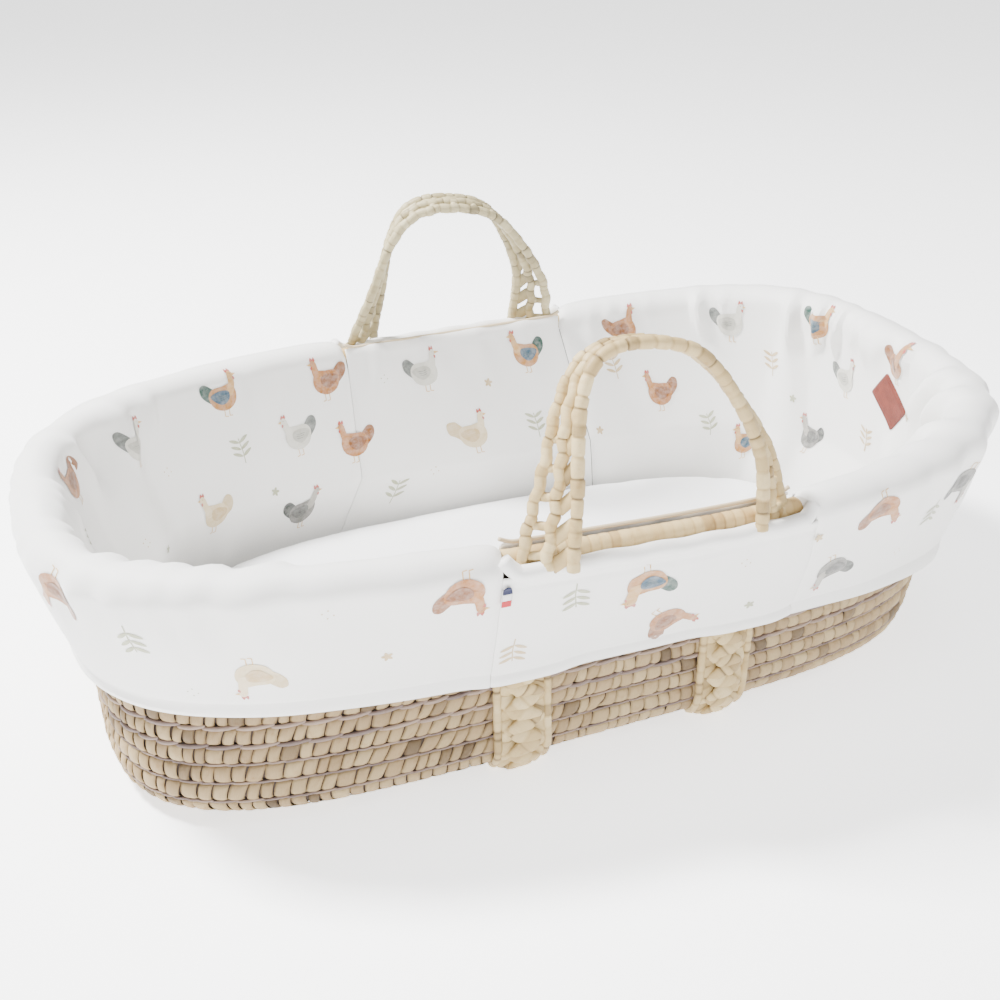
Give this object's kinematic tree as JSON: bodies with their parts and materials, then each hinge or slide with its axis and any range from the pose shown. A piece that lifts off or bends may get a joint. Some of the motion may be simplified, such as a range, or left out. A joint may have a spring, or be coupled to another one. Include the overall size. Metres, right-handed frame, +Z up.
{
  "type": "moses basket",
  "caption": "Moses basket of coiled palm leaf with a padded printed cotton liner, a flat mattress and two braided straw carry handles; no stand.",
  "frame": {"origin": "under the middle of the basket, on the surface that its two carry straps rest on", "axes": "+X towards the head end, +Y towards the back side, +Z up"},
  "size_m": [0.84, 0.504, 0.37],
  "materials": {
    "palm_coil": "matte",
    "straw_wrap": "satin",
    "straw_braid": "matte",
    "printed_cotton": "satin",
    "mattress_cotton": "matte",
    "foam": "matte",
    "tan_leather": "satin",
    "ribbon": "satin"
  },
  "bodies": {
    "basket": {"base_mat": "palm_coil", "rim_rod": "straw_wrap", "carry_strap_foot": "straw_braid", "carry_strap_head": "straw_braid", "wall_course_01": "palm_coil", "wall_course_02": "palm_coil", "wall_course_03": "palm_coil", "wall_course_04": "palm_coil", "wall_course_05": "palm_coil", "wall_course_06": "palm_coil", "wall_course_07": "palm_coil", "wall_course_08": "palm_coil", "wall_course_09": "palm_coil", "wall_course_10": "palm_coil", "wall_course_11": "palm_coil", "wall_course_12": "palm_coil", "wall_course_13": "palm_coil", "liner_foot_end": "printed_cotton", "liner_head_end": "printed_cotton", "liner_back_wall": "printed_cotton", "liner_back_skirt": "printed_cotton", "slot_piping_back": "printed_cotton", "liner_front_wall": "printed_cotton", "liner_front_skirt": "printed_cotton", "slot_piping_front": "printed_cotton", "liner_floor": "printed_cotton", "leather_label": "tan_leather", "seam_tag": "ribbon"},
    "handle_front": {"handle_front_outer_cord": "straw_braid", "handle_front_middle_cord": "straw_braid", "handle_front_inner_cord": "straw_braid"},
    "handle_back": {"handle_back_outer_cord": "straw_braid", "handle_back_middle_cord": "straw_braid", "handle_back_inner_cord": "straw_braid"},
    "mattress": {"mattress_core": "foam", "mattress_cover": "mattress_cotton"}
  },
  "joints": [
    {"name": "handle_front_swing", "type": "hinge", "parent": "basket", "child": "handle_front", "pos_m": [0.024, -0.238, 0.2295], "axis": [1, 0, 0], "range_deg": [-45, 95]},
    {"name": "handle_back_swing", "type": "hinge", "parent": "basket", "child": "handle_back", "pos_m": [0.024, 0.238, 0.2295], "axis": [-1, 0, 0], "range_deg": [-45, 95]},
    {"name": "mattress_lift", "type": "slide", "parent": "basket", "child": "mattress", "axis": [0, 0, 1], "range_m": [0, 0.36]}
  ]
}
